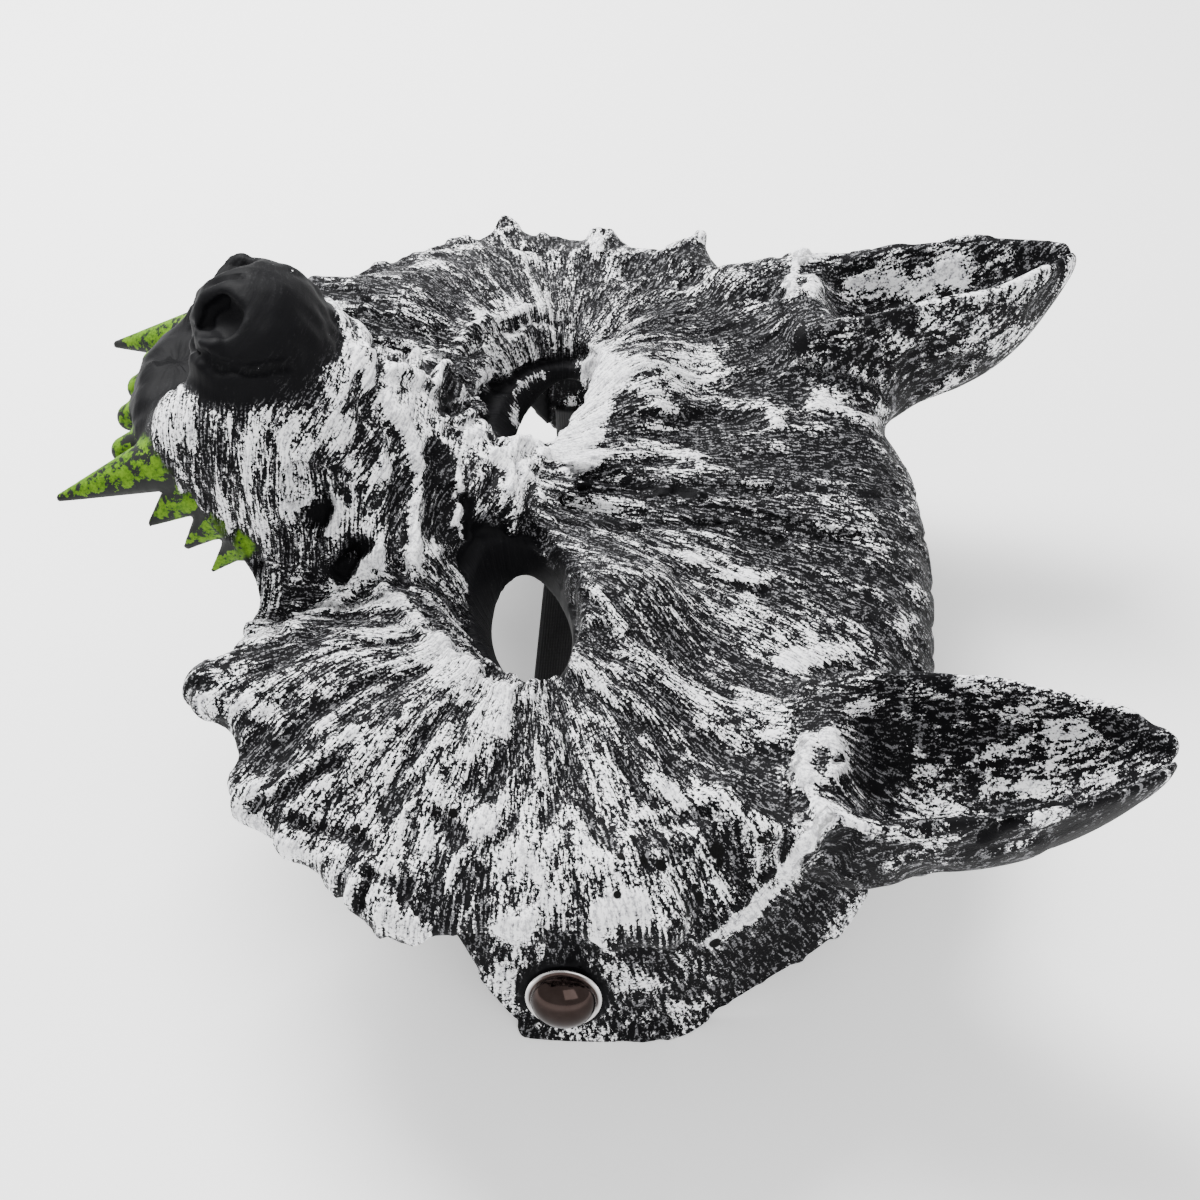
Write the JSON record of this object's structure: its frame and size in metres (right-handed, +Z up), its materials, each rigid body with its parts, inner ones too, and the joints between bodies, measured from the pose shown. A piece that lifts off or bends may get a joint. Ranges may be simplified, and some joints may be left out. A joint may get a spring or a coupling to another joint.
{
  "type": "wolf head mask",
  "caption": "Wolf head half mask cast in foam, with open eye holes, bared teeth, cupped ears, a fur ruff and a riveted elastic strap.",
  "frame": {"origin": "middle of the underside of the bounding box, on the surface that the lobes' rims rest on", "axes": "+X from the snout to the ears, +Y to the wolf's right-hand side, +Z up out of the face as it lies"},
  "size_m": [0.2564, 0.2552, 0.1423],
  "materials": {
    "painted_foam": "matt black foam, dry-brushed with silver white",
    "elastic": "woven black elastic",
    "stud_metal": "polished dark nickel"
  },
  "bodies": {
    "root": {"mask_casting": "painted_foam", "elastic_strap": "elastic", "stud_left": "stud_metal", "stud_right": "stud_metal", "rivet_back_left": "stud_metal", "rivet_back_right": "stud_metal"}
  },
  "joints": []
}
